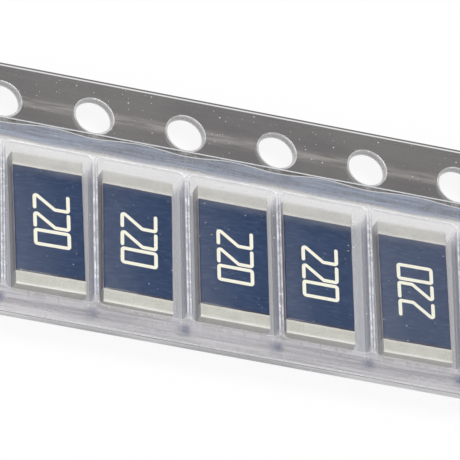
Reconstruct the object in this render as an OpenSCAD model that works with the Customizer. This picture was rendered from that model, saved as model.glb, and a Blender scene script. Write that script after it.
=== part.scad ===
// Cut strip of embossed carrier tape with chip resistors under a heat-sealed
// cover film. The strip lies on its pocket floors with the cover film up.
//
// X runs along the tape, +Y points to the sprocket holes, and Z = 0 is the
// surface that the pocket floors rest on. All sizes are in millimetres.

/* [Strip] */
// Number of pockets, each with one chip resistor
pocket_count = 7; // [2:1:9]

/* [Carrier tape] */
// Width across the tape
tape_w = 12; // [11.8:0.1:16]
// Thickness of the flat web
web_t = 0.25; // [0.15:0.01:0.4]
// Spacing of the sprocket holes, and of the pockets
hole_pitch = 4; // [4:0.05:5]
// Diameter of a sprocket hole
hole_d = 1.55; // [1.4:0.05:1.7]
// Rounding that the punch leaves round the top of a sprocket hole
hole_rim_r = 0.1; // [0.04:0.01:0.12]
// Distance from the tape's edge to the row of sprocket holes
hole_edge = 1.75; // [1.6:0.05:1.9]
// Distance from the row of sprocket holes to the middle of the pockets
pocket_offset = 5.5; // [5.4:0.05:5.8]

/* [Pockets] */
// Room beside a chip that lies in the middle of its pocket
side_clear = 0.23; // [0.1:0.01:0.25]
// Room past the end of a chip that lies in the middle of its pocket
end_clear = 0.21; // [0.1:0.01:0.4]
// Room between the top of a chip and the cover film
headroom = 0.35; // [0.1:0.01:0.8]
// Thickness of the pocket walls
wall_t = 0.13; // [0.06:0.01:0.14]
// Thickness of the pocket floors
floor_t = 0.22; // [0.1:0.01:0.4]
// Draft of the pocket walls, in degrees
wall_draft = 2; // [0.5:0.5:3]
// Rounding of the pocket's rim, where the web turns down into the wall
rim_r = 0.1; // [0.04:0.01:0.12]
// Rounding between the pocket's wall and its floor
foot_r = 0.05; // [0.02:0.01:0.08]
// Radius of the pocket's corners, seen from above
corner_r = 0.15; // [0.1:0.01:0.3]
// Diameter of the hole in each pocket floor
vent_d = 1.5; // [0.8:0.05:2]

/* [Cover film] */
// Thickness of the cover film
film_t = 0.06; // [0.04:0.005:0.1]
// Distance from the tape's sprocket edge to the cover film
film_edge = 2.65; // [2.6:0.01:2.7]
// Bare web between the cover film and the tape's other edge
film_far_edge = 0.05; // [0.01:0.01:0.35]

/* [Chip resistor] */
// Length over the terminals
chip_l = 6.35; // [6:0.05:6.45]
// Width
chip_w = 3.06; // [2.6:0.02:3.1]
// Thickness of the ceramic substrate
substrate_t = 0.5; // [0.3:0.01:0.7]
// Bevel that the laser scribe leaves along the substrate's upper edges
scribe = 0.02; // [0.01:0.005:0.1]
// Thickness of the terminals on the top, the bottom and the end
plating_t = 0.05; // [0.02:0.005:0.08]
// Rounding of a terminal's outer edges
plating_r = 0.04; // [0.01:0.005:0.05]
// Length of a terminal on the top
top_band = 0.65; // [0.3:0.01:0.9]
// Length of a terminal on the underside
bottom_band = 0.7; // [0.3:0.01:1]
// Thickness of the overcoat at its middle
coat_t = 0.036; // [0.02:0.001:0.05]
// Width over which the overcoat thins out along its two long edges
coat_feather = 0.05; // [0.02:0.01:0.2]
// Bare ceramic between the overcoat and the scribe's bevel
coat_margin = 0.01; // [0.005:0.005:0.2]
// Thickness of the resistive film under the overcoat
resist_t = 0.012; // [0.005:0.001:0.018]
// Width of the resistive film
resist_w = 2.5; // [1.2:0.05:2.7]

/* [Hidden] */
$fn = 64;
// How far a cut runs past the face that it opens
over = 0.2;
// How far a rim's flare laps the hole that it opens
lap = 0.05;

strip_l = pocket_count * hole_pitch;
hole_y = tape_w / 2 - hole_edge;
pocket_y = hole_y - pocket_offset;
film_w = tape_w - film_edge - film_far_edge;
film_y = tape_w / 2 - film_edge - film_w / 2;

chip_t = substrate_t + 2 * plating_t;
web_top = floor_t + chip_t + headroom;

// The fillet between the floor and the wall takes this much of the floor
foot_run = foot_r * (1 / cos(wall_draft) - tan(wall_draft));
pocket_w = chip_w + 2 * (side_clear + foot_run);
pocket_l = chip_l + 2 * (end_clear + foot_run);

coat_w = chip_w - 2 * (scribe + coat_margin);
coat_l = chip_l - 2 * top_band;

// How each chip lies in its pocket, as shares of the room that it has:
// [along the tape, across the tape, turned]. All nought is the middle, one
// is against the wall.
chip_lies = [
    [0.2, 0.4, -0.1],
    [0.75, 0.95, 0.27],
    [-0.19, 0.19, -0.1],
    [0.6, 0.85, 0.02],
    [-0.64, 0.82, 0.03],
    [0.42, 0.62, 0.21],
    [-0.25, 0.1, 0.05],
];
// The turn at which a chip would touch both side walls
jam_angle = asin(2 * side_clear / chip_l);

function pocket_x(k) = (k - (pocket_count + 1) / 2) * hole_pitch;
function chip_name(k, piece) = str("chip_", k, "_", piece);

// --- Carrier tape ---------------------------------------------------------

// How far a wall that starts at foot_z leans outwards at height z
function lean(z, foot_z) = (z - foot_z) * tan(wall_draft);

// Section of a drafted wall with a rounded foot, from the axis of the plan
// corner outwards. At its foot the wall stands corner away from that axis.
module wall_section(corner, foot_z, end_z, round) {
    centre = [corner - round * (1 / cos(wall_draft) - tan(wall_draft)), foot_z + round];
    polygon([
        [0, foot_z],
        [centre.x, foot_z],
        centre + round * [cos(wall_draft), -sin(wall_draft)],
        [corner + lean(end_z, foot_z), end_z],
        [0, end_z],
    ]);
    translate(centre) intersection() {
        circle(r = round);
        translate([0, -round]) square([round, 2 * round]);
    }
}

// Section of the flare that opens a pocket into the top of the web
module rim_section() {
    centre_z = web_top - rim_r;
    centre = [corner_r + lean(centre_z, floor_t) + rim_r / cos(wall_draft), centre_z];
    start = centre + rim_r * [-cos(wall_draft), sin(wall_draft)];
    size = [centre.x - start.x + lap, web_top + over - start.y];
    difference() {
        translate(start - [lap, 0]) square(size);
        translate(centre) circle(r = rim_r);
    }
}

// Sweeps a section round a rectangle with rounded corners, w by l at the
// foot of the wall, and fills its middle from bottom to top
module swept_form(w, l, corner, bottom, top) {
    straight = [w, l] - 2 * [corner, corner];
    for (i = [0:3]) {
        across = straight[i % 2];
        along = straight[(i + 1) % 2];
        rotate([0, 0, 90 * i]) translate([across / 2, along / 2, 0]) {
            rotate_extrude(angle = 90) children();
            rotate([90, 0, 0]) linear_extrude(along) children();
        }
    }
    translate([-straight.x / 2, -straight.y / 2, bottom])
        cube([straight.x, straight.y, top - bottom]);
}

module pocket_outside() {
    end_z = web_top - web_t / 2;
    swept_form(pocket_w + 2 * wall_t, pocket_l + 2 * wall_t, corner_r + wall_t, 0, end_z)
        wall_section(corner_r + wall_t, 0, end_z, foot_r + wall_t);
}

module pocket_inside() {
    end_z = web_top + over;
    swept_form(pocket_w, pocket_l, corner_r, floor_t, end_z) {
        wall_section(corner_r, floor_t, end_z, foot_r);
        rim_section();
    }
}

module sprocket_hole() {
    translate([0, 0, web_top - web_t - over]) cylinder(d = hole_d, h = web_t + 2 * over);
    rim_z = web_top - hole_rim_r;
    rotate_extrude() difference() {
        translate([hole_d / 2 - lap, rim_z]) square([lap + hole_rim_r, hole_rim_r + over]);
        translate([hole_d / 2 + hole_rim_r, rim_z]) circle(r = hole_rim_r);
    }
}

module at_pockets() {
    for (k = [1:pocket_count]) translate([pocket_x(k), pocket_y, 0]) children();
}

module carrier_tape() {
    color([0.45, 0.44, 0.45]) difference() {
        union() {
            translate([-strip_l / 2, -tape_w / 2, web_top - web_t]) cube([strip_l, tape_w, web_t]);
            at_pockets() pocket_outside();
        }
        at_pockets() pocket_inside();
        at_pockets() translate([0, 0, -over]) cylinder(d = vent_d, h = floor_t + 2 * over);
        for (k = [0:pocket_count])
            translate([(k - pocket_count / 2) * hole_pitch, hole_y, 0]) sprocket_hole();
    }
}

// --- Cover film -----------------------------------------------------------

module cover_film() {
    color([0.75, 0.78, 0.85]) translate([-strip_l / 2, film_y - film_w / 2, web_top])
        cube([strip_l, film_w, film_t]);
}

// --- Chip resistors -------------------------------------------------------

// Puts a chip down on the floor of pocket k, as it lies there
module in_pocket(k) {
    lie = chip_lies[(k - 1) % len(chip_lies)];
    turn = lie[2] * jam_angle;
    room = [side_clear - chip_l / 2 * sin(abs(turn)), end_clear - chip_w / 2 * sin(abs(turn))];
    translate([pocket_x(k) + lie[0] * room.x, pocket_y + lie[1] * room.y, floor_t])
        rotate([0, 0, turn]) children();
}

// Extrudes an outline drawn in Y and Z along X, both ways from the middle
module along_x(length) {
    rotate([90, 0, 90]) linear_extrude(length, center = true) children();
}

// Extrudes an outline drawn in X and Z along Y, both ways from the middle
module along_y(length) {
    rotate([90, 0, 0]) linear_extrude(length, center = true) children();
}

// Outline of a chip across its width, with the two bevels of the laser scribe
module cross_outline(bottom, top) {
    polygon([
        [-chip_w / 2, bottom],
        [chip_w / 2, bottom],
        [chip_w / 2, top - scribe],
        [chip_w / 2 - scribe, top],
        [-chip_w / 2 + scribe, top],
        [-chip_w / 2, top - scribe],
    ]);
}

module substrate() {
    color("ivory") along_y(chip_l - 2 * plating_t)
        cross_outline(plating_t, plating_t + substrate_t);
}

// Terminal at the +Y end: a cap round the end of the substrate
module terminal() {
    color([0.78, 0.78, 0.76]) intersection() {
        along_x(chip_w) difference() {
            terminal_outline();
            translate([0, plating_t]) square([chip_l / 2 - plating_t, substrate_t]);
        }
        along_y(chip_l) cross_outline(0, chip_t);
    }
}

// Outline of a terminal along the chip, its top and bottom bands of their own
// lengths and its outer edges rounded
module terminal_outline() {
    end = chip_l / 2;
    for (z = [plating_r, chip_t - plating_r])
        translate([end - plating_r, z]) circle(r = plating_r);
    translate([end - bottom_band, 0]) square([bottom_band - plating_r, chip_t / 2]);
    translate([end - top_band, chip_t / 2]) square([top_band - plating_r, chip_t / 2]);
    translate([end - 2 * plating_r, plating_r]) square([2 * plating_r, chip_t - 2 * plating_r]);
}

module resistive_film() {
    color([0.15, 0.12, 0.1]) translate([-resist_w / 2, -coat_l / 2, plating_t + substrate_t])
        cube([resist_w, coat_l, resist_t]);
}

module overcoat() {
    color([0.2, 0.27, 0.42]) translate([0, 0, plating_t + substrate_t]) along_y(coat_l) difference() {
        polygon([
            [-coat_w / 2, 0],
            [coat_w / 2, 0],
            [coat_w / 2 - coat_feather, coat_t],
            [-coat_w / 2 + coat_feather, coat_t],
        ]);
        translate([-resist_w / 2, -over]) square([resist_w, over + resist_t]);
    }
}

// --- Assembly -------------------------------------------------------------

carrier_tape();
cover_film();
for (k = [1:pocket_count]) {
    in_pocket(k) substrate();
    in_pocket(k) resistive_film();
    in_pocket(k) overcoat();
    in_pocket(k) mirror([0, 1, 0]) terminal();
    in_pocket(k) terminal();
}
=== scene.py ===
"""Looks of a cut strip of embossed carrier tape: chip resistors in drawn pockets
under a heat-sealed cover film. Sizes are in millimetres until a mesh is made."""

import math
import random

import bmesh
import bpy
import numpy as np
from mathutils import Matrix, Vector


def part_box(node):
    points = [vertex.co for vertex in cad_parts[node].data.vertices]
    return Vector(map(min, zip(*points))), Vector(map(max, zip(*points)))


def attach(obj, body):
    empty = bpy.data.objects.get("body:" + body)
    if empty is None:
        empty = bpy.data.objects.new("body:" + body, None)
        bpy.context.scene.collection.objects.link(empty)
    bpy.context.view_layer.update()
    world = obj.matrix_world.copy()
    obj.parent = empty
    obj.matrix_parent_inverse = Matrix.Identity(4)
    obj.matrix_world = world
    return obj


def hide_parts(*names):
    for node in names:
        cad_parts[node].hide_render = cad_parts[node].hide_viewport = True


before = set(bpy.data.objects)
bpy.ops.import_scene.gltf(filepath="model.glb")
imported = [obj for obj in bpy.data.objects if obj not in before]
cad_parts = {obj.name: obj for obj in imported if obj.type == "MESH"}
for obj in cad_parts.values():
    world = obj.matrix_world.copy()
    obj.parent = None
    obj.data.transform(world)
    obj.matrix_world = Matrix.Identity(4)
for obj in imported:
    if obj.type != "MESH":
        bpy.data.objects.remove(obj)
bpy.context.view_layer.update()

MM = 0.001

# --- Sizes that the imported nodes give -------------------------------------


def box_mm(node):
    """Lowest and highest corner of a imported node, in millimetres."""
    low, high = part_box(node)
    return np.array(low) / MM, np.array(high) / MM


TAPE_LOW, TAPE_HIGH = box_mm("carrier_tape")
FILM_LOW, FILM_HIGH = box_mm("cover_film")
WEB_TOP = TAPE_HIGH[2]
POCKETS = sum(name.endswith("_substrate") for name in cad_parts)
PITCH = (TAPE_HIGH[0] - TAPE_LOW[0]) / POCKETS

# --- Sizes of the carrier tape, as its CAD solid has them ------------------

HOLE_Y = TAPE_HIGH[1] - 1.75
HOLE_R = 0.775
HOLE_RIM = 0.1
POCKET_Y = HOLE_Y - 5.5
WEB_T = 0.25
WEB_UNDER = WEB_TOP - WEB_T
WALL_T = 0.13
FLOOR_T = 0.22
DRAFT = math.radians(2)
RIM_R = 0.1
FOOT_R = 0.05
CORNER_R = 0.15
ROOT_R = np.array([0.03, 0.1])  # fillet under the web, towards the ribs and the ends
VENT_R = 0.75
POCKET_HALF = np.array([1.8083, 3.4333])  # inside, at the foot of the wall

# --- Sizes of a chip resistor, whose own origin is under its middle --------

CHIP_L, CHIP_W = 6.35, 3.06
PLATING = 0.05
SUBSTRATE_T = 0.5
SUBSTRATE_TOP = PLATING + SUBSTRATE_T
CHIP_T = SUBSTRATE_TOP + PLATING
TOP_BAND, BOTTOM_BAND = 0.65, 0.7
SCRIBE = 0.02
COAT_MARGIN = 0.01  # bare ceramic between the overcoat and the scribed bevel
COAT_W = CHIP_W - 2 * (SCRIBE + COAT_MARGIN)
COAT_L = CHIP_L - 2 * TOP_BAND
COAT_T = 0.036
COAT_TOP = SUBSTRATE_TOP + COAT_T
COAT_FEATHER = 0.05
RESIST_W, RESIST_T = 2.5, 0.012

# --- Small tools ----------------------------------------------------------


def add_object(name, mesh, material, node=None):
    """Puts a finished mesh in the scene, riding on the part's only body."""
    piece = bpy.data.objects.new(name, mesh)
    bpy.context.scene.collection.objects.link(piece)
    mesh.materials.append(material)
    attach(piece, "root")
    if node:
        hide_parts(node)


def new_material(name):
    """A node material, its tree and its Principled shader."""
    made = bpy.data.materials.new(name)
    made.use_nodes = True
    tree = made.node_tree
    return made, tree, tree.nodes["Principled BSDF"]


def set_input(tree, socket, value):
    """Links an input to another node's socket, or gives it a fixed value."""
    if isinstance(value, bpy.types.NodeSocket):
        tree.links.new(value, socket)
    else:
        socket.default_value = value


def feed(tree, node, **inputs):
    """Sets or links a node's inputs by name, with _ for a space."""
    for key, value in inputs.items():
        set_input(tree, node.inputs[key.replace("_", " ")], value)


def new_node(tree, kind, props=None, **inputs):
    """Adds a shader node with its properties and inputs."""
    made = tree.nodes.new("ShaderNode" + kind)
    for key, value in (props or {}).items():
        setattr(made, key, value)
    feed(tree, made, **inputs)
    return made


def maths(tree, operation, *values, clamp=False):
    """A Math node on numbers or sockets."""
    made = new_node(tree, "Math", {"operation": operation, "use_clamp": clamp})
    for socket, value in zip(made.inputs, values):
        set_input(tree, socket, value)
    return made.outputs[0]


def times(tree, first, second):
    return maths(tree, "MULTIPLY", first, second)


def highest(tree, first, second):
    return maths(tree, "MAXIMUM", first, second)


def distance(tree, value, centre):
    return maths(tree, "ABSOLUTE", maths(tree, "SUBTRACT", value, centre))


def mix(tree, kind, share, first, second):
    """A Mix node. Its kind is RGBA or FLOAT, and its share is clamped."""
    made = new_node(tree, "Mix", {"data_type": kind})
    ending = {"RGBA": "Color", "FLOAT": "Float"}[kind]
    values = {"Factor_Float": share, "A_" + ending: first, "B_" + ending: second}
    for socket in made.inputs:
        if socket.identifier in values:
            set_input(tree, socket, values[socket.identifier])
    return next(s for s in made.outputs if s.identifier == "Result_" + ending)


def mix_colour(tree, share, first, second):
    """A colour between two, which are sockets or (red, green, blue)."""
    first, second = ((*c, 1) if isinstance(c, tuple) else c for c in (first, second))
    return mix(tree, "RGBA", share, first, second)


def mix_value(tree, share, first, second):
    """A number between two."""
    return mix(tree, "FLOAT", share, first, second)


def blend(tree, share, look, colour, alpha):
    """A look between two. A look is a colour and an alpha."""
    return mix_colour(tree, share, look[0], colour), mix_value(tree, share, look[1], alpha)


def mix_shader(tree, share, first, second):
    made = new_node(tree, "MixShader")
    for socket, value in zip(made.inputs, (share, first, second)):
        set_input(tree, socket, value)
    return made.outputs[0]


def ramp(tree, value, low, high):
    """0 below low, 1 above high, smooth between. low may be above high."""
    made = new_node(tree, "MapRange", {"interpolation_type": "SMOOTHSTEP"})
    feed(tree, made, Value=value, From_Min=low, From_Max=high)
    return made.outputs[0]


def band(tree, value, centre, outer, inner):
    """1 within inner of centre, 0 further than outer from it, smooth between."""
    return ramp(tree, distance(tree, value, centre), outer, inner)


def millimetres(tree):
    """The piece's own coordinates in millimetres."""
    where = new_node(tree, "TexCoord").outputs["Object"]
    scaled = new_node(tree, "VectorMath", {"operation": "SCALE"}, Vector=where, Scale=1 / MM)
    return scaled.outputs[0]


def attribute(tree, name):
    """A mark that the mesh carries at each of its points."""
    return new_node(tree, "Attribute", {"attribute_name": name}).outputs["Fac"]


def noise(tree, where, scale, detail=2.0, roughness=0.5, stretch=(1, 1, 1)):
    """Noise of scale features a millimetre, stretched along its own axes."""
    placed = new_node(tree, "Mapping", Vector=where, Scale=stretch).outputs[0]
    made = new_node(
        tree, "TexNoise", Vector=placed, Scale=scale, Detail=detail, Roughness=roughness
    )
    return made.outputs["Fac"]


def specks(tree, where, per_mm, size, share):
    """Small round specks, size millimetres in radius, in a share of the cells."""
    cells = new_node(tree, "TexVoronoi", {"feature": "F1"}, Vector=where, Scale=per_mm)
    dot = ramp(tree, cells.outputs["Distance"], size * per_mm, 0.4 * size * per_mm)
    luck = new_node(tree, "SeparateColor", Color=cells.outputs["Color"]).outputs[0]
    return times(tree, dot, maths(tree, "LESS_THAN", luck, share))


def dust(tree, where, coarse, fine):
    """Coarse and fine specks of dust, each given by its size and its share."""
    return highest(tree, specks(tree, where, 4.0, *coarse), specks(tree, where, 8.0, *fine))


def bump(tree, height, distance_mm):
    return new_node(tree, "Bump", Height=height, Distance=distance_mm * MM).outputs[0]


# --- Camera, floor and light ----------------------------------------------

CAMERA_AZIMUTH, CAMERA_ELEVATION, CAMERA_ROLL = map(math.radians, (-30.07, 51.61, 35.02))
CAMERA_DISTANCE = 359.7
CAMERA_LENS = 690.3
CAMERA_TARGET = (-0.16, -0.06)  # on the top of the web


def make_camera():
    """A long lens from far off, rolled about its own axis."""
    a, e = CAMERA_AZIMUTH, CAMERA_ELEVATION
    back = Vector((math.sin(a) * math.cos(e), -math.cos(a) * math.cos(e), math.sin(e)))
    level = Vector((math.cos(a), math.sin(a), 0))
    up = back.cross(level)
    right = math.cos(CAMERA_ROLL) * level + math.sin(CAMERA_ROLL) * up
    axes = Matrix((right, back.cross(right), back)).transposed()
    data = bpy.data.cameras.new("camera")
    data.lens = CAMERA_LENS
    data.sensor_width = 36
    data.clip_start = 0.01
    camera = bpy.data.objects.new("camera", data)
    bpy.context.scene.collection.objects.link(camera)
    target = Vector((*CAMERA_TARGET, WEB_TOP))
    place = (target + CAMERA_DISTANCE * back) * MM
    camera.matrix_world = Matrix.Translation(place) @ axes.to_4x4()
    bpy.context.scene.camera = camera


FLOOR_HALF = 600.0
FLOOR_GLOW = 0.9  # share of plain white that rays from the camera see
FLOOR_GAP = 0.01  # keeps the floor off the pockets' undersides, which lie at 0


def floor_material():
    """Matt white that keeps a shadow. From below it is clear."""
    material, tree, shader = new_material("floor")
    feed(tree, shader, Base_Color=(0.97, 0.97, 0.97, 1), Roughness=0.7, Specular_IOR_Level=0.1)
    path = new_node(tree, "LightPath").outputs
    seen = highest(tree, path["Is Camera Ray"], path["Is Glossy Ray"])
    seen = highest(tree, seen, path["Is Transmission Ray"])
    glow = new_node(tree, "Emission", Color=(1, 1, 1, 1), Strength=1.0).outputs[0]
    above = mix_shader(tree, times(tree, seen, FLOOR_GLOW), shader.outputs[0], glow)
    below = new_node(tree, "BsdfTransparent").outputs[0]
    behind = new_node(tree, "NewGeometry").outputs["Backfacing"]
    surface = tree.nodes["Material Output"].inputs["Surface"]
    set_input(tree, surface, mix_shader(tree, behind, above, below))
    return material


def make_floor():
    half, z = FLOOR_HALF * MM, -FLOOR_GAP * MM
    mesh = bpy.data.meshes.new("floor")
    corners = [(-half, -half, z), (half, -half, z), (half, half, z), (-half, half, z)]
    mesh.from_pydata(corners, [], [(0, 1, 2, 3)])
    mesh.materials.append(floor_material())
    floor = bpy.data.objects.new("floor", mesh)
    bpy.context.scene.collection.objects.link(floor)


WORLD_LIGHT = 0.38  # on the object; rays from the camera see plain white


def make_world():
    world = bpy.data.worlds.new("studio")
    world.use_nodes = True
    tree = world.node_tree
    seen = new_node(tree, "LightPath").outputs["Is Camera Ray"]
    strength = mix_value(tree, seen, WORLD_LIGHT, 1.0)
    feed(tree, tree.nodes["Background"], Color=(1, 1, 1, 1), Strength=strength)
    bpy.context.scene.world = world


def make_lamp(name, azimuth, elevation, distance_mm, size, power):
    """A square soft box that faces the strip. Azimuth 0 is behind it, at +Y."""
    a, e = math.radians(azimuth), math.radians(elevation)
    way = Vector((math.sin(a) * math.cos(e), math.cos(a) * math.cos(e), math.sin(e)))
    data = bpy.data.lights.new(name, "AREA")
    data.shape = "SQUARE"
    data.size = size * MM
    data.energy = power
    lamp = bpy.data.objects.new(name, data)
    bpy.context.scene.collection.objects.link(lamp)
    turn = way.to_track_quat("Z", "Y").to_matrix().to_4x4()
    lamp.matrix_world = Matrix.Translation(way * distance_mm * MM) @ turn


# --- Carrier tape ---------------------------------------------------------

SIDE_STEPS = 28  # steps along X on each closed line round a pocket or a hole
END_STEPS = 44  # steps along Y
ARC_STEPS = 6  # steps that each side gives to half a corner's arc


def rectangle(x0, x1, y0, y1, z, between=None):
    """Closed line on a rectangle, evenly divided, from its +X+Y corner round by -X.
    between gives the places along Y between the corners instead."""
    xs = np.linspace(x1, x0, SIDE_STEPS + 1)
    ys = np.linspace(y1, y0, END_STEPS + 1)
    if between is not None:
        ys[1:-1] = between
    line = [(x, y1) for x in xs[:-1]] + [(x0, y) for y in ys[:-1]]
    line += [(x, y0) for x in xs[::-1][:-1]] + [(x1, y) for y in ys[::-1][:-1]]
    return np.array([(x, y, z) for x, y in line])


def rounded(half, radius, z):
    """Closed line on a rectangle with round corners, matched to rectangle()."""
    straight = np.array(half) - radius
    arc = np.linspace(0, math.pi / 4, ARC_STEPS + 1)

    def side(steps, length):
        """Places along one side as (along, out), with half an arc at each end."""
        lead = [(length + radius * math.sin(t), radius * math.cos(t)) for t in arc[:0:-1]]
        flat = np.linspace(length, -length, steps - 2 * ARC_STEPS + 1)
        middle = [(s, radius) for s in flat]
        tail = [(-length - radius * math.sin(t), radius * math.cos(t)) for t in arc[1:]]
        return (lead + middle + tail)[:-1]

    top = [(s, straight[1] + out) for s, out in side(SIDE_STEPS, straight[0])]
    left = [(-straight[0] - out, s) for s, out in side(END_STEPS, straight[1])]
    line = top + left
    line += [(-x, -y) for x, y in line]
    return np.array([(x, y, z) for x, y in line])


def circle(radius, z):
    """Closed line on a circle, matched to rectangle()."""
    quarter = math.pi / 2
    start = math.pi / 4
    turns = [start + quarter * i / SIDE_STEPS for i in range(SIDE_STEPS)]
    turns += [start + quarter * (1 + i / END_STEPS) for i in range(END_STEPS)]
    turns += [t + math.pi for t in turns]
    return np.array([(radius * math.cos(t), radius * math.sin(t), z) for t in turns])


WELD_PARTS = 1e5  # places that agree to one of these parts of a millimetre are welded


class Sheet:
    """A sheet with an upper and a lower face, built from matched closed lines.
    Each place holds both faces' points and two marks: how far the sheet is
    drawn there, and how much painted highlight along a rim's top, or painted shade beside it, is there."""

    def __init__(self):
        self.upper, self.lower, self.quads = [], [], []
        self.marks = {"drawn": [], "rim_highlight_and_shade": []}

    def add(self, lines, shift):
        """Joins each line to the next, as far as the tape reaches along X. A
        line is (upper, lower, drawn, rim_highlight_and_shade)."""
        first = sum(len(line) for line in self.upper)
        count = len(lines[0][0])
        for upper, lower, drawn, rim_highlight_and_shade in lines:
            self.upper.append(upper + shift)
            self.lower.append(lower + shift)
            self.marks["drawn"].append(np.full(count, drawn))
            self.marks["rim_highlight_and_shade"].append(np.full(count, rim_highlight_and_shade))
        for i, (outer, inner) in enumerate(zip(lines, lines[1:])):
            a, b = first + i * count, first + (i + 1) * count
            for j in range(count):
                k = (j + 1) % count
                middle = (outer[0][j] + inner[0][k]) / 2 + shift
                if TAPE_LOW[0] < middle[0] < TAPE_HIGH[0]:
                    self.quads.append((a + k, b + k, b + j, a + j))

    def mesh(self, name):
        """Welds the places that meet, closes the cut edges and makes the mesh."""
        upper, lower = np.concatenate(self.upper), np.concatenate(self.lower)
        key = np.round(upper * WELD_PARTS).astype(np.int64)
        _, first, same = np.unique(key, axis=0, return_index=True, return_inverse=True)
        used, quads = np.unique(same.reshape(-1)[np.array(self.quads)], return_inverse=True)
        places = first[used]
        quads = [tuple(quad) for quad in quads.reshape(-1, 4).tolist()]
        edges = dict.fromkeys(e for quad in quads for e in zip(quad, quad[1:] + quad[:1]))
        cut = [(a, b) for a, b in edges if (b, a) not in edges]
        n = len(places)
        points = np.concatenate([upper[places], lower[places]]) * MM
        faces = quads + [tuple(n + v for v in quad[::-1]) for quad in quads]
        faces += [(b, a, n + a, n + b) for a, b in cut]
        mesh = bpy.data.meshes.new(name)
        mesh.from_pydata(points.tolist(), [], faces)
        for mark, values in self.marks.items():
            layer = mesh.attributes.new(mark, "FLOAT", "POINT")
            layer.data.foreach_set("value", np.tile(np.concatenate(values)[places], 2))
        mesh.shade_smooth()
        corners = {tuple(sorted(edge)) for a, b in cut for edge in ((a, b), (n + a, n + b))}
        sharp = [tuple(sorted(edge.vertices)) in corners for edge in mesh.edges]
        layer = mesh.attributes.new("sharp_edge", "BOOLEAN", "EDGE")
        layer.data.foreach_set("value", sharp)
        return mesh


RIM_ARC, WALL_RINGS, FOOT_ARC = 7, 4, 5
RIM_GAP = 0.025  # from a rim's outer edge to the line that ends its painted highlight
ROOT_GAP = np.array([0.001, 0.025])  # from the root's fillet to the line outside it
RIB_HALF = 0.08  # half of a rib's flat top, which is all painted highlight
SHADE_END = 0.35  # the side rims' painted shade ends this far from the ends of a pocket
NEAR_END = 0.3  # and the painted highlight is faint from this far on at the near end
NEAR_HIGHLIGHT = 0.2  # share of the painted highlight that is left there
FOOT_DRAWN, VENT_DRAWN = 0.8, 0.6  # the floor is drawn less than the walls
HOLE_DRAWN = 0.9
HOLE_HIGHLIGHT, HOLE_SHADE = 0.8, 0.45  # painted highlight and painted shade on a sprocket hole's rim, above and below
HOLE_LINES = (0.12, 0.02)  # from a sprocket hole's rim to the lines round it
CELL_SPLIT_Y = POCKET_Y + 4.1  # where the pockets' cells meet the sprocket holes' cells


def cell_lines(low, high, between=None):
    """The first line of a cell, on the flat web, without marks."""
    upper, lower = (
        rectangle(-PITCH / 2, PITCH / 2, low, high, z, between) for z in (WEB_TOP, WEB_UNDER)
    )
    return [(upper, lower, 0.0, 0.0)]


def pocket_lines():
    """Matched lines from the edge of a pocket's cell down to its vent hole."""
    outside = POCKET_HALF + WALL_T
    inner_c, outer_c = CORNER_R, CORNER_R + WALL_T
    lean = (WEB_UNDER - ROOT_R[1]) * math.tan(DRAFT)
    root_out = lean + ROOT_R + ROOT_GAP
    below = rounded(outside + root_out, outer_c + root_out[0], WEB_UNDER)
    between = below[SIDE_STEPS + 1 : SIDE_STEPS + END_STEPS, 1]
    lines = cell_lines(TAPE_LOW[1] - POCKET_Y, CELL_SPLIT_Y - POCKET_Y, between)
    # The rim turns down from the web, over the root's fillet on the underside
    rim_z = WEB_TOP - RIM_R
    rim_foot = (rim_z - FLOOR_T) * math.tan(DRAFT) + RIM_R / math.cos(DRAFT)
    beside = rounded(POCKET_HALF + rim_foot + RIM_GAP, inner_c + rim_foot + RIM_GAP, WEB_TOP)
    # The flat top of each rib is all painted highlight
    on_rib = np.abs(beside[:, 0]) > PITCH / 2 - RIB_HALF
    lines.append((beside, below, 0.0, np.where(on_rib, 1.0, 0.0)))
    for t in np.linspace(math.pi / 2, math.pi - DRAFT, RIM_ARC):
        out = rim_foot + RIM_R * math.cos(t)
        upper = rounded(POCKET_HALF + out, inner_c + out, rim_z + RIM_R * math.sin(t))
        root = lean + ROOT_R * (1 + math.cos(t))
        z = WEB_UNDER - ROOT_R[1] * (1 - math.sin(t))
        lower = rounded(outside + root, outer_c + root[0], z)
        # Painted highlight along the rim's top; on the side walls, painted shade just inside it
        bright = math.sin(t) ** 8
        dark = math.sin(2 * t) ** 2 * (1 - bright)
        rim_highlight_and_shade = np.where(np.abs(upper[:, 1]) < outside[1] - SHADE_END, bright - dark, bright)
        rim_highlight_and_shade = np.where(upper[:, 1] < NEAR_END - outside[1], NEAR_HIGHLIGHT * bright, rim_highlight_and_shade)
        lines.append((upper, lower, 1 - math.sin(t) ** 4, rim_highlight_and_shade))
    # The drafted wall
    foot_out = FOOT_R + WALL_T
    foot_share = 1 - math.sin(DRAFT)
    steps = WALL_RINGS + 2
    wall_in = np.linspace(rim_z + RIM_R * math.sin(DRAFT), FLOOR_T + FOOT_R * foot_share, steps)
    wall_out = np.linspace(WEB_UNDER - ROOT_R[1], foot_out * foot_share, steps)
    for zi, zo in zip(wall_in[1:-1], wall_out[1:-1]):
        a, b = (zi - FLOOR_T) * math.tan(DRAFT), zo * math.tan(DRAFT)
        upper = rounded(POCKET_HALF + a, inner_c + a, zi)
        lines.append((upper, rounded(outside + b, outer_c + b, zo), 1.0, 0.0))
    # The foot turns into the floor
    run = 1 / math.cos(DRAFT) - math.tan(DRAFT)
    for t in np.linspace(-DRAFT, -math.pi / 2, FOOT_ARC):
        a, b = FOOT_R * (math.cos(t) - run), foot_out * (math.cos(t) - run)
        upper = rounded(POCKET_HALF + a, inner_c + a, FLOOR_T + FOOT_R * (1 + math.sin(t)))
        lower = rounded(outside + b, outer_c + b, foot_out * (1 + math.sin(t)))
        lines.append((upper, lower, 1.0 if t > -1 else FOOT_DRAWN, 0.0))
    lines.append((circle(VENT_R, FLOOR_T), circle(VENT_R, 0.0), VENT_DRAWN, 0.0))
    return lines


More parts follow.
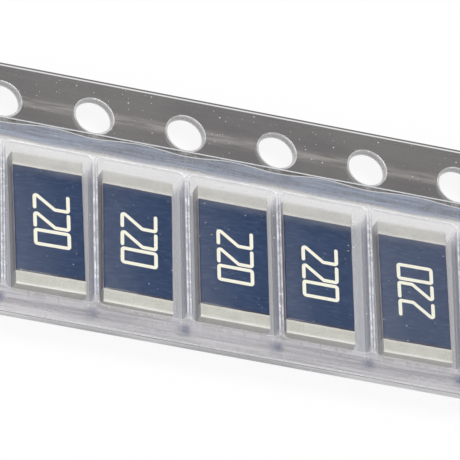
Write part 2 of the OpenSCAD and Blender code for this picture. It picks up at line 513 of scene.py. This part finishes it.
def sprocket_lines():
    """Matched lines from the edge of a sprocket hole's cell to the hole."""
    lines = cell_lines(CELL_SPLIT_Y - HOLE_Y, TAPE_HIGH[1] - HOLE_Y)
    outer = HOLE_R + HOLE_RIM
    for gap in HOLE_LINES:
        r = outer + gap
        lines.append((circle(r, WEB_TOP), circle(r, WEB_UNDER), 0.0, 0.0))
    for t in np.linspace(math.pi / 2, math.pi, RIM_ARC):
        r = outer + HOLE_RIM * math.cos(t)
        z = WEB_TOP - HOLE_RIM * (1 - math.sin(t))
        drawn = HOLE_DRAWN * (1 - math.sin(t) ** 4)
        # Painted highlight on top of the hole's rim, painted shade at its inner edge
        rim_highlight_and_shade = HOLE_HIGHLIGHT * math.sin(t) ** 8 - HOLE_SHADE * (1 - math.sin(t)) ** 3
        lines.append((circle(r, z), circle(r, WEB_UNDER), drawn, rim_highlight_and_shade))
    return lines


def make_carrier():
    """The row of pockets, with the row of sprocket holes beside it. Those at the
    strip's ends are cut in half."""
    sheet = Sheet()
    for k in range(POCKETS):
        x = (k - (POCKETS - 1) / 2) * PITCH
        sheet.add(pocket_lines(), np.array([x, POCKET_Y, 0]))
    for k in range(POCKETS + 1):
        x = (k - POCKETS / 2) * PITCH
        sheet.add(sprocket_lines(), np.array([x, HOLE_Y, 0]))
    mesh = sheet.mesh("carrier_sheet")
    add_object("carrier_sheet", mesh, carrier_material(), "carrier_tape")


EMBOSSED_Y = (2.7, 2.48)  # the web turns from smoky to pale between these
SIDE_HALF = (3.3, 3.1)  # the pockets' side walls end between these, from their middle
REFLECTION_Z = 0.9  # height of the painted reflection, a pale line along a side wall
FLANGE_Y = (-4.92, -5.0)  # past the pockets, the web is streaked beyond these
FAR_WALL_Y = 2.26  # middle of the pockets' far end walls
NEAR_WALL_Y = -4.74  # outside their near end walls
NEAR_SHADE_Z = 0.58  # the near end walls are darker below this
KNOT_Y = -5.24  # middle of the painted shade over the gap past each rib
KNOT_HALF = (0.42, 0.36)  # half of its size along X and along Y
KNOT_SHIFT = 0.24  # how far it lies from the rib towards -X
EDGE_LINE = 0.05  # width of the lines along a long edge


def sheet_look(tree, y, z, drawn, cloud, scuff):
    """Smoky on the flat web, milky on the pockets' ends; on their sides, bluish painted shade with a
    painted reflection along it.
    """
    web = mix_colour(tree, ramp(tree, cloud, 0.3, 0.7), (0.088, 0.08, 0.08), (0.13, 0.12, 0.117))
    # A pale smear joins the sprocket holes
    smear = band(tree, y, HOLE_Y + 0.05, 0.42, 0.02)
    smear = times(tree, smear, ramp(tree, scuff, 0.2, 0.7))
    web = mix_colour(tree, times(tree, smear, 0.9), web, (0.32, 0.3, 0.28))
    end = mix_colour(tree, ramp(tree, scuff, 0.3, 0.7), (0.84, 0.82, 0.85), (0.92, 0.9, 0.92))
    # Painted shade: the side walls are darker and bluish. A pale line along them is a painted
    # reflection.
    side_wall_reflection = band(tree, z, REFLECTION_Z, 0.06, 0.01)
    side = mix_colour(tree, side_wall_reflection, (0.42, 0.44, 0.55), (0.8, 0.8, 0.85))
    is_side = ramp(tree, distance(tree, y, POCKET_Y), *SIDE_HALF)
    colour = mix_colour(tree, drawn, web, mix_colour(tree, is_side, end, side))
    alpha = mix_value(tree, drawn, 0.72, mix_value(tree, is_side, 0.32, 0.42))
    return colour, alpha


def flange_look(tree, where, y, look):
    """The web past the pockets is streaked and greyer."""
    streaks = ramp(tree, noise(tree, where, 3.4, 3.0, stretch=(0.05, 2.4, 0.2)), 0.38, 0.6)
    streaked = mix_colour(tree, streaks, (0.3, 0.29, 0.32), (0.76, 0.74, 0.76))
    return blend(tree, ramp(tree, y, *FLANGE_Y), look, streaked, 0.52)


def end_walls_look(tree, y, z, look):
    """The far end walls are milky. The near ones have painted shade below a pale line, darkest at their
    foot.
    """
    far = times(tree, band(tree, y, FAR_WALL_Y, 0.19, 0.15), ramp(tree, z, 1.1, 1.05))
    look = blend(tree, far, look, (0.97, 0.94, 0.96), 0.21)
    near = ramp(tree, y, NEAR_WALL_Y, NEAR_WALL_Y - 0.03)
    # Painted shade on the near end walls below a pale line, darkest at their foot
    low = times(tree, near, ramp(tree, z, NEAR_SHADE_Z, NEAR_SHADE_Z - 0.06))
    colour, alpha = blend(tree, low, look, (0.36, 0.33, 0.39), 0.6)
    foot = times(tree, low, ramp(tree, z, 0.14, 0.05))
    colour = mix_colour(tree, foot, colour, (0.12, 0.115, 0.13))
    pale = times(tree, near, band(tree, z, NEAR_SHADE_Z + 0.04, 0.05, 0.02))
    return blend(tree, pale, (colour, alpha), (0.95, 0.94, 0.95), 0.75)


def knot_shade_look(tree, x, y, look):
    """Painted shade past each rib, over the gap between the pockets' outer corners."""
    shifted = maths(tree, "ADD", x, PITCH / 2 + KNOT_SHIFT)
    from_rib = maths(tree, "PINGPONG", shifted, PITCH / 2)
    wide, long = KNOT_HALF
    # Painted shade, dark blue, past each rib
    gap = ramp(tree, from_rib, wide, 0.2 * wide)
    gap = times(tree, gap, band(tree, y, KNOT_Y, long, 0.3 * long))
    return blend(tree, gap, look, (0.12, 0.15, 0.28), 0.68)


def edges_look(tree, where, y, rim_highlight_and_shade, look):
    """The side rims get painted shade under a painted highlight along their top. Along each long edge
    runs a pale painted highlight line, inside a dark one. Dust lies over all."""
    # Painted shade on the side rims, where the mark is negative
    shade = maths(tree, "MULTIPLY", rim_highlight_and_shade, -1.0, clamp=True)
    colour, alpha = blend(tree, shade, look, (0.26, 0.26, 0.33), 0.6)
    from_edge = maths(tree, "SUBTRACT", TAPE_HIGH[1], maths(tree, "ABSOLUTE", y))
    dark_line = band(tree, from_edge, 0.9 * EDGE_LINE, 0.6 * EDGE_LINE, 0.3 * EDGE_LINE)
    colour = mix_colour(tree, dark_line, colour, (0.09, 0.085, 0.08))
    # A painted highlight: a pale line along each long edge
    edge_highlight_line = band(tree, from_edge, 2.2 * EDGE_LINE, EDGE_LINE, 0.3 * EDGE_LINE)
    # The rims' painted highlight is broken into brighter patches
    highlight_spots = ramp(tree, noise(tree, where, 2.5), 0.4, 0.6)
    rim_highlight_and_shade = maths(tree, "MULTIPLY", rim_highlight_and_shade, mix_value(tree, highlight_spots, 0.6, 1.0), clamp=True)
    # Painted highlights and real dust specks share one whitening
    highlight_and_dust = highest(tree, times(tree, edge_highlight_line, 0.9), rim_highlight_and_shade)
    specked = dust(tree, where, (0.042, 0.12), (0.024, 0.12))
    highlight_and_dust = highest(tree, highlight_and_dust, times(tree, specked, 0.8))
    return blend(tree, highlight_and_dust, (colour, alpha), (0.95, 0.95, 0.97), 0.92)


def carrier_material():
    """Smoky clear plastic, paler and hazier where the pockets are drawn."""
    material, tree, shader = new_material("carrier_plastic")
    where = millimetres(tree)
    x, y, z = new_node(tree, "SeparateXYZ", Vector=where).outputs
    embossed = times(tree, ramp(tree, y, *EMBOSSED_Y), 0.85)
    drawn = highest(tree, attribute(tree, "drawn"), embossed)
    cloud = noise(tree, where, 0.35, 3.0, stretch=(0.6, 1.6, 1))
    grain = noise(tree, where, 9.0)
    scuff = noise(tree, where, 3.0, stretch=(0.25, 3.0, 1))
    look = sheet_look(tree, y, z, drawn, cloud, scuff)
    look = flange_look(tree, where, y, look)
    look = end_walls_look(tree, y, z, look)
    look = knot_shade_look(tree, x, y, look)
    colour, alpha = edges_look(tree, where, y, attribute(tree, "rim_highlight_and_shade"), look)
    rough = mix_value(tree, ramp(tree, scuff, 0.3, 0.7), 0.13, 0.2)
    normal = bump(tree, maths(tree, "ADD", times(tree, grain, 0.08), cloud), 0.01)
    feed(tree, shader, Base_Color=colour, Alpha=alpha, Roughness=rough, IOR=1.57, Normal=normal)
    return material


# --- Cover film -----------------------------------------------------------

FILM_STEP = 0.1


def make_film():
    """A thin sheet of even squares that fills the film's packed box."""
    xs, ys = (
        np.linspace(low, high, round((high - low) / FILM_STEP) + 1)
        for low, high in zip(FILM_LOW[:2], FILM_HIGH[:2])
    )
    gx, gy = np.meshgrid(xs, ys, indexing="ij")
    places = np.stack([gx, gy, np.full(gx.shape, FILM_LOW[2])], -1).reshape(-1, 3)
    thick = np.array([0, 0, FILM_HIGH[2] - FILM_LOW[2]])
    n = gx.size
    index = np.arange(n).reshape(gx.shape)
    corners = [index[:-1, :-1], index[1:, :-1], index[1:, 1:], index[:-1, 1:]]
    quads = np.stack(corners, -1).reshape(-1, 4)
    rim = np.concatenate([index[:, 0], index[-1, 1:], index[-2::-1, -1], index[0, -2:0:-1]])
    faces = [tuple(n + quad) for quad in quads] + [tuple(quad[::-1]) for quad in quads]
    faces += [(a, b, n + b, n + a) for a, b in zip(rim, np.roll(rim, -1))]
    mesh = bpy.data.meshes.new("film_sheet")
    mesh.from_pydata((np.concatenate([places, places + thick]) * MM).tolist(), [], faces)
    mesh.shade_smooth()
    add_object("film_sheet", mesh, film_material(), "cover_film")


NEAR_SEAL = (2.46, 3.12)  # where the film is sealed beside the sprocket holes
FAR_SEAL = (-5.93, -5.02)  # and along the other edge
SHEEN_Y = (0.7, 1.9, 2.05, 2.3)  # where the painted sheen sets in, is full, begins to fade and ends


def near_seal(tree, x, y, drift):
    """The seal beside the holes, and a painted highlight at its outer edge. Past each
    pocket's middle, halfway between two holes, it runs a little further out."""
    swing = maths(tree, "COSINE", times(tree, x, 2 * math.pi / PITCH))
    outer = maths(tree, "ADD", NEAR_SEAL[1], times(tree, swing, 0.07))
    outer = maths(tree, "ADD", outer, times(tree, drift, 0.08))
    past = maths(tree, "SUBTRACT", y, outer)
    inner = maths(tree, "ADD", y, times(tree, swing, 0.06))
    inner = ramp(tree, inner, NEAR_SEAL[0] - 0.04, NEAR_SEAL[0] + 0.04)
    sealed = times(tree, ramp(tree, past, 0.03, -0.03), inner)
    # The second result is a painted highlight along the seal's outer edge
    return sealed, band(tree, past, 0.0, 0.035, 0.01)


def film_material():
    """Clear film, hazy and bluish where it is sealed to the web, with a painted sheen over the chips
    and painted highlights along its edges.
    """
    material, tree, shader = new_material("film_plastic")
    where = millimetres(tree)
    x, y, _ = new_node(tree, "SeparateXYZ", Vector=where).outputs
    drift = noise(tree, where, 0.5, stretch=(1, 0.1, 1))
    streaks = noise(tree, where, 2.2, 3.0, 0.6, stretch=(0.18, 3.0, 1))
    near, line = near_seal(tree, x, y, drift)
    far = ramp(tree, y, FAR_SEAL[1] + 0.06, FAR_SEAL[1])
    far = times(tree, far, ramp(tree, y, FAR_SEAL[0] - 0.02, FAR_SEAL[0]))
    # A painted highlight along the film's cut edge
    edge = band(tree, y, FILM_HIGH[1] - 0.025, 0.05, 0.02)
    # A painted sheen, in patches, over the far part of the chips
    sheen = mix_value(tree, ramp(tree, drift, 0.3, 0.7), 0.5, 1.0)
    sheen = times(tree, sheen, ramp(tree, y, SHEEN_Y[0], SHEEN_Y[1]))
    sheen = times(tree, sheen, ramp(tree, y, SHEEN_Y[3], SHEEN_Y[2]))
    near_haze = times(tree, near, mix_value(tree, ramp(tree, streaks, 0.3, 0.7), 0.2, 0.5))
    far_haze = times(tree, far, mix_value(tree, streaks, 0.05, 0.3))
    alpha = mix_value(tree, ramp(tree, x, 3.0, 9.0), 0.006, 0.03)
    for haze in (times(tree, sheen, 0.2), near_haze, far_haze):
        alpha = maths(tree, "ADD", alpha, haze)
    specked = dust(tree, where, (0.032, 0.07), (0.018, 0.07))
    for mark, share in ((line, 0.6), (edge, 0.85), (specked, 0.8)):
        alpha = highest(tree, alpha, times(tree, mark, share))
    colour = mix_colour(tree, near, (0.9, 0.89, 0.91), (0.5, 0.56, 0.71))
    colour = mix_colour(tree, far, colour, (0.64, 0.62, 0.65))
    # The painted highlights and the dust specks are whitened
    bright = highest(tree, highest(tree, line, edge), specked)
    colour = mix_colour(tree, bright, colour, (0.92, 0.93, 0.97))
    normal = bump(tree, maths(tree, "ADD", streaks, drift), 0.02)
    feed(tree, shader, Base_Color=colour, Alpha=alpha, Roughness=0.15, IOR=1.5, Normal=normal)
    return material


# --- Chip resistors -------------------------------------------------------


def place_of(node):
    """How a chip lies: a matrix to its place, from its substrate's CAD mesh."""
    points = np.array([v.co[:2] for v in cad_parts[node].data.vertices]) / MM
    points = np.unique(np.round(points, 4), axis=0)
    middle = (points.min(0) + points.max(0)) / 2
    values, ways = np.linalg.eigh(np.cov((points - middle).T))
    way = ways[:, np.argmax(values)]
    way = way if way[1] > 0 else -way
    turn = Matrix.Rotation(math.atan2(-way[0], way[1]), 4, "Z")
    return Matrix.Translation((*middle, FLOOR_T)) @ turn


def wander(luck, steps, size, knots):
    """A gently wandering line of numbers, none larger than size."""
    heights = [luck.uniform(-size, size) for _ in range(knots)]
    return np.interp(np.linspace(0, knots - 1, steps), range(knots), heights)


def loft(name, rings, place, marks, crease=35):
    """Closed mesh over a row of matching rings, with flat ends. marks gives
    vertex attributes, as one row of numbers a ring."""
    n, m = len(rings[0]), len(rings)
    faces = [tuple(range(n))[::-1], tuple(range((m - 1) * n, m * n))]
    for i in range(m - 1):
        for j in range(n):
            k = (j + 1) % n
            faces.append((i * n + j, i * n + k, (i + 1) * n + k, (i + 1) * n + j))
    return finished_mesh(name, np.concatenate(rings), faces, place, crease, marks)


def finished_mesh(name, points, faces, place, crease, marks=None):
    """Mesh put in its place, with edges sharper than crease degrees kept sharp."""
    mesh = bpy.data.meshes.new(name)
    mesh.from_pydata(np.asarray(points).tolist(), [], faces)
    for mark, values in (marks or {}).items():
        layer = mesh.attributes.new(mark, "FLOAT", "POINT")
        layer.data.foreach_set("value", np.asarray(values, float).reshape(-1))
    mesh.transform(Matrix.Scale(MM, 4) @ place)
    work = bmesh.new()
    work.from_mesh(mesh)
    bmesh.ops.recalc_face_normals(work, faces=work.faces)
    work.to_mesh(mesh)
    work.free()
    mesh.shade_smooth()
    mesh.set_sharp_from_angle(angle=math.radians(crease))
    return mesh


SUBSTRATE_STEPS, SUBSTRATE_LEVELS = 90, 7
SNAP_ROUGH = 0.007  # how far the snapped faces wander


def substrate_mesh(name, place, luck):
    """Alumina body: scribed bevels above, snapped faces below them."""
    steps, levels = SUBSTRATE_STEPS, SUBSTRATE_LEVELS
    half_l = CHIP_L / 2 - PLATING
    side = np.linspace(PLATING, SUBSTRATE_TOP - SCRIBE, levels)
    rough = {s: [wander(luck, steps, SNAP_ROUGH, 40) for _ in side] for s in (-1, 1)}
    rings = []
    for i, y in enumerate(np.linspace(-half_l, half_l, steps)):
        ring = []
        for s in (1, -1):
            snapped = [CHIP_W / 2 - SNAP_ROUGH + rough[s][j][i] for j in range(levels)]
            edge = [(s * x, y, z) for x, z in zip(snapped, side)]
            edge.append((s * (CHIP_W / 2 - SCRIBE), y, SUBSTRATE_TOP))
            ring += edge if s == 1 else edge[::-1]
        rings.append(np.array(ring))
    # Painted shade on the sides grows towards the top, between the terminals
    coated = [abs(ring[0][1]) < COAT_L / 2 for ring in rings]
    side_shade = [[c * (p[2] - PLATING) / SUBSTRATE_T for p in ring] for c, ring in zip(coated, rings)]
    return loft(name, rings, place, {"side_shade": side_shade})


CAP_STEPS = 60
CAP_EDGE_R, CAP_LIP_R = 0.04, 0.035  # rounding of the cap's end and of its lip
CAP_CORNER = np.linspace(0, math.pi / 2, 5)  # turns along a rounding
CAP_SIDE_X = (0, 0.006, 0.018)  # first places in from the cap's side
CAP_SIDE_IN = (0.03, 0.012, 0.003)  # how much the cap is rounded off at each
CAP_SIDE_END = 0.03  # it is full from here on
CAP_BEVEL = 0.6  # how steeply its top follows the scribed bevel
CAP_LIP_WANDER, CAP_TOP_WANDER = 0.008, 0.002


def terminal_mesh(name, place, luck, way):
    """Tin cap round the end that way (1 or -1) points to."""
    end, edge_r, lip_r = CHIP_L / 2, CAP_EDGE_R, CAP_LIP_R
    lip = wander(luck, CAP_STEPS, CAP_LIP_WANDER, 14)
    lie = wander(luck, CAP_STEPS, CAP_TOP_WANDER, 10)
    flat_steps = CAP_STEPS - 2 * len(CAP_SIDE_X)
    shrink = [*CAP_SIDE_IN, *[0] * flat_steps, *CAP_SIDE_IN[::-1]]
    side = np.array(CAP_SIDE_X)
    flat = np.linspace(CAP_SIDE_END, CHIP_W - CAP_SIDE_END, flat_steps)
    xs = np.concatenate([side, flat, CHIP_W - side[::-1]]) - CHIP_W / 2
    turns = [(math.sin(t), math.cos(t)) for t in CAP_CORNER]
    rings = []
    for x, s, lip_out, lie_up in zip(xs, shrink, lip, lie):
        bevel = max(0, abs(x) - (CHIP_W / 2 - SCRIBE)) * CAP_BEVEL
        top = CHIP_T - s - bevel - CAP_TOP_WANDER + lie_up
        start = end - TOP_BAND + lip_out
        low = end - BOTTOM_BAND
        outer = [(start, SUBSTRATE_TOP - SCRIBE)]
        outer += [(start + lip_r * (1 - cos), top - lip_r * (1 - sin)) for sin, cos in turns]
        outer += [(y, top) for y in np.linspace(start + lip_r, end - s - edge_r, 6)[1:-1]]
        outer += [(end - s - edge_r * (1 - sin), top - edge_r * (1 - cos)) for sin, cos in turns]
        outer += [(end - s - edge_r * (1 - cos), s + edge_r * (1 - sin)) for sin, cos in turns]
        outer += [(low, s), (low, PLATING)]
        inner = [(end - PLATING, PLATING), (end - PLATING, SUBSTRATE_TOP - SCRIBE)]
        rings.append(np.array([(x, way * y, z) for y, z in outer + inner]))
    # Painted highlights on the rounded edges
    lip_highlight = [math.cos(0.8 * t) for t in CAP_CORNER]
    end_highlight = [max(math.sin(2 * t + 0.4), 0.5 * math.sin(t)) for t in CAP_CORNER]
    mark = [1] + lip_highlight + [0] * 4 + end_highlight + end_highlight[::-1] + [0] * 4
    marks = [mark] * CAP_STEPS
    # The side faces are painted lighter, as painted light
    marks[0] = marks[-1] = [0.7] * len(mark)
    return loft(name, rings, place, {"edge": marks})


COAT_STEPS = 80
COAT_END_Y = (0, 0.012, 0.025, 0.04, 0.06, 0.1, 0.14)  # first places from an end
COAT_MIDDLE = 0.2  # evenly spaced from here on
COAT_END_T = 0.66  # share of the thickness at the very end
COAT_END_R = 0.06  # length over which it grows to the whole
COAT_WANDER = 0.006
END_SHADE_NEAR, END_SHADE_FAR = 0.12, 0.05  # how far the painted shade reaches at each end


def overcoat_mesh(name, place, luck):
    """Blue glaze, thinned out along its long edges and just rounded at its ends."""
    half_l = COAT_L / 2
    middle = np.linspace(COAT_MIDDLE - half_l, half_l - COAT_MIDDLE, COAT_STEPS)
    ys = [y - half_l for y in COAT_END_Y] + list(middle) + [half_l - y for y in COAT_END_Y[::-1]]
    edge = {s: wander(luck, len(ys), COAT_WANDER, 16) for s in (-1, 1)}
    rise = np.linspace(0, math.pi / 2, 7)
    under = [(-RESIST_W / 2, 0), (-RESIST_W / 2, RESIST_T), (RESIST_W / 2, RESIST_T), (RESIST_W / 2, 0)]
    rings = []
    for i, y in enumerate(ys):
        end_share = min(1, (half_l - abs(y)) / COAT_END_R) ** 0.5
        thick = COAT_T * (COAT_END_T + (1 - COAT_END_T) * end_share)
        ring = []
        for s in (1, -1):
            half = COAT_W / 2 - COAT_WANDER + edge[s][i]
            part = [
                (s * (half - COAT_FEATHER * t / (math.pi / 2)), thick * math.sin(t)) for t in rise
            ]
            ring += part if s == 1 else part[::-1]
        rings.append(np.array([(x, y, SUBSTRATE_TOP + z) for x, z in ring + under]))
    # Painted shade where the glaze meets the terminals
    reach = [END_SHADE_FAR if y > 0 else END_SHADE_NEAR for y in ys]
    end_shade = [[max(0, 1 - (half_l - abs(y)) / r)] * len(rings[0]) for y, r in zip(ys, reach)]
    return loft(name, rings, place, {"end_shade": end_shade}, 60)


# --- Printed values -------------------------------------------------------

PRINT_TEXT = "220"
PRINT_TALL, PRINT_WIDE, PRINT_PITCH = 1.45, 0.66, 0.87
PRINT_STROKE = 0.155
PRINT_BEND = 0.004  # inner radius of a stroke's bends
PRINT_T = 0.006
# How far each print misses its chip's middle
PRINT_SHIFTS = [(0.02, 0), (0.11, 0.1), (0.04, 0.1), (0.05, 0), (0.05, 0), (0.04, 0), (0, 0.05)]
TURNED_CHIPS = (6,)  # these lie the other way round
# Centre lines of the numerals on a square one by one, and whether they close
NUMERALS = {
    "2": ([(0, 1), (1, 1), (1, 0.6), (0, 0), (1, 0)], False),
    "0": ([(0, 0), (1, 0), (1, 1), (0, 1)], True),
}


def filleted(points, radius, closed):
    """Centre line with its corners rounded, as (point, direction) pairs."""
    n = len(points)
    line = []
    for i, p in enumerate(points):
        if not closed and i in (0, n - 1):
            way = (points[1] - p) if i == 0 else (p - points[-2])
            line.append((p, way / np.linalg.norm(way)))
            continue
        a, b = p - points[i - 1], points[(i + 1) % n] - p
        a, b = a / np.linalg.norm(a), b / np.linalg.norm(b)
        turn = math.atan2(a[0] * b[1] - a[1] * b[0], a @ b)
        side = np.array([-a[1], a[0]]) * math.copysign(1, turn)
        start = p - a * radius * math.tan(abs(turn) / 2)
        centre = start + side * radius
        for t in np.linspace(0, turn, 7):
            spin = np.array([[math.cos(t), -math.sin(t)], [math.sin(t), math.cos(t)]])
            line.append((centre - spin @ side * radius, spin @ a))
    return line


def stroke_faces(points, closed):
    """Raised stroke with round ends, as points and faces."""
    half = PRINT_STROKE / 2
    line = filleted([np.array(p, float) for p in points], half + PRINT_BEND, closed)
    left = [p + half * np.array([-w[1], w[0]]) for p, w in line]
    right = [p - half * np.array([-w[1], w[0]]) for p, w in line]
    n = len(line)
    flat = left + right
    top = [(i, i + 1, n + i + 1, n + i) for i in range(n - 1)]
    border = [(i, i + 1) for i in range(n - 1)] + [(n + i + 1, n + i) for i in range(n - 1)]
    if closed:
        top.append((n - 1, 0, n, 2 * n - 1))
        border += [(n - 1, 0), (n, 2 * n - 1)]
    else:
        for (p, w), a, b, out in ((line[0], 0, n, -1), (line[-1], n - 1, 2 * n - 1, 1)):
            side = np.array([-w[1], w[0]])
            first = len(flat)
            turns = np.linspace(0, math.pi, 9)[1:-1]
            flat += [p + half * (side * math.cos(t) + out * w * math.sin(t)) for t in turns]
            rim = (a, *range(first, len(flat)), b)
            top.append(rim)
            border += list(zip(rim, rim[1:]))
    m = len(flat)
    points = [(x, y, PRINT_T) for x, y in flat] + [(x, y, 0) for x, y in flat]
    faces = top + [tuple(m + v for v in face[::-1]) for face in top]
    faces += [(a, b, m + b, m + a) for a, b in border]
    return points, faces


def print_mesh(name, place, shift, turned):
    """The printed value. Its text runs along -Y, or along +Y when turned."""
    points, faces = [], []
    run = (len(PRINT_TEXT) - 1) * PRINT_PITCH + PRINT_WIDE
    for i, numeral in enumerate(PRINT_TEXT):
        shape, closed = NUMERALS[numeral]
        first = run / 2 - i * PRINT_PITCH
        line = [((v - 0.5) * PRINT_TALL, first - u * PRINT_WIDE) for u, v in shape]
        more, sides = stroke_faces(line, closed)
        faces += [tuple(len(points) + v for v in side) for side in sides]
        points += more
    spin = -1 if turned else 1
    where = [(spin * x + shift[0], spin * y + shift[1], COAT_TOP + z) for x, y, z in points]
    return finished_mesh(name, where, faces, place, 40)


def make_chips():
    """Dresses each chip. Its resistive film is hidden, so it stays as packed and
    only gets a look."""
    ceramic, tin, glaze = alumina_material(), tin_material(), glaze_material()
    ink, paste = ink_material(), resistor_material()
    for k in range(1, POCKETS + 1):
        luck = random.Random(100 + k)
        place = place_of(f"chip_{k}_substrate")
        mesh = substrate_mesh(f"chip_body_{k}", place, luck)
        add_object(mesh.name, mesh, ceramic, f"chip_{k}_substrate")
        for end, way in (("near", -1), ("far", 1)):
            mesh = terminal_mesh(f"chip_cap_{k}_{end}", place, luck, way)
            add_object(mesh.name, mesh, tin, f"chip_{k}_terminal_{end}")
        mesh = overcoat_mesh(f"chip_glaze_{k}", place, luck)
        add_object(mesh.name, mesh, glaze, f"chip_{k}_overcoat")
        shift = PRINT_SHIFTS[(k - 1) % len(PRINT_SHIFTS)]
        mesh = print_mesh(f"chip_print_{k}", place, shift, k in TURNED_CHIPS)
        add_object(mesh.name, mesh, ink)
        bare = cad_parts[f"chip_{k}_resistive_film"]
        bare.data.materials.clear()
        bare.data.materials.append(paste)


def alumina_material():
    """White ceramic, with dark brown painted shade towards the top of its sides."""
    material, tree, shader = new_material("alumina")
    where = millimetres(tree)
    grain = noise(tree, where, 30.0, 3.0)
    cloud = ramp(tree, noise(tree, where, 2.0), 0.3, 0.7)
    colour = mix_colour(tree, cloud, (0.8, 0.78, 0.74), (0.86, 0.85, 0.82))
    # Painted shade, dark brown, towards the top of the sides
    side_shade = ramp(tree, attribute(tree, "side_shade"), 0.45, 0.8)
    colour = mix_colour(tree, side_shade, colour, (0.36, 0.32, 0.34))
    feed(tree, shader, Base_Color=colour, Roughness=0.55, Normal=bump(tree, grain, 0.012))
    return material


def tin_material():
    """Matt tin plating with a fine grain, and painted highlights on its edges."""
    material, tree, shader = new_material("tin")
    where = millimetres(tree)
    grain = noise(tree, where, 16.0, 4.0, 0.75)
    cloud = ramp(tree, noise(tree, where, 1.3, 3.0), 0.3, 0.7)
    colour = mix_colour(tree, cloud, (0.47, 0.465, 0.415), (0.55, 0.545, 0.49))
    colour = mix_colour(tree, ramp(tree, grain, 0.5, 0.72), colour, (0.34, 0.335, 0.31))
    colour = mix_colour(tree, ramp(tree, grain, 0.45, 0.28), colour, (0.74, 0.735, 0.68))
    # Painted highlights on the rounded edges, painted light on the side faces
    colour = mix_colour(tree, attribute(tree, "edge"), colour, (0.98, 0.97, 0.93))
    rough = mix_value(tree, ramp(tree, grain, 0.3, 0.7), 0.4, 0.55)
    normal = bump(tree, grain, 0.01)
    feed(tree, shader, Base_Color=colour, Metallic=0.25, Roughness=rough, Normal=normal)
    return material


def glaze_material():
    """Dark blue overcoat, with painted shade where it meets the terminals."""
    material, tree, shader = new_material("overcoat_glaze")
    where = millimetres(tree)
    cloud = ramp(tree, noise(tree, where, 1.1, 3.0), 0.3, 0.7)
    grain = noise(tree, where, 6.0, 4.0, 0.7, stretch=(0.35, 1.8, 1))
    colour = mix_colour(tree, cloud, (0.0105, 0.0325, 0.096), (0.015, 0.04, 0.11))
    colour = mix_colour(tree, ramp(tree, grain, 0.42, 0.72), colour, (0.036, 0.07, 0.152))
    pits = times(tree, specks(tree, where, 5.0, 0.015, 0.16), 0.8)
    colour = mix_colour(tree, pits, colour, (0.35, 0.4, 0.5))
    # Painted shade, near black, at the ends by the terminals
    end_shade = times(tree, attribute(tree, "end_shade"), 0.9)
    colour = mix_colour(tree, end_shade, colour, (0.05, 0.035, 0.03))
    normal = bump(tree, grain, 0.002)
    feed(tree, shader, Base_Color=colour, Roughness=0.18, IOR=1.42, Normal=normal)
    return material


def ink_material():
    """Cream marking ink, a little thin in places."""
    material, tree, shader = new_material("marking_ink")
    where = millimetres(tree)
    thin = noise(tree, where, 14.0, 3.0, 0.7)
    colour = mix_colour(tree, ramp(tree, thin, 0.62, 0.78), (0.93, 0.91, 0.76), (0.6, 0.62, 0.57))
    feed(tree, shader, Base_Color=colour, Roughness=0.5, Normal=bump(tree, thin, 0.004))
    return material


def resistor_material():
    """Dark ruthenium paste."""
    material, tree, shader = new_material("resistor_paste")
    where = millimetres(tree)
    grain = noise(tree, where, 20.0, 3.0)
    colour = mix_colour(tree, grain, (0.03, 0.025, 0.022), (0.06, 0.05, 0.045))
    feed(tree, shader, Base_Color=colour, Roughness=0.6, Normal=bump(tree, grain, 0.005))
    return material


# --- Assembly -------------------------------------------------------------

bpy.context.scene.view_settings.view_transform = "Standard"
make_camera()
make_floor()
make_world()
make_lamp("overhead_box", azimuth=5, elevation=74, distance_mm=320, size=170, power=0.58)
make_lamp("front_fill", azimuth=232, elevation=38, distance_mm=420, size=320, power=0.4)
make_carrier()
make_film()
make_chips()
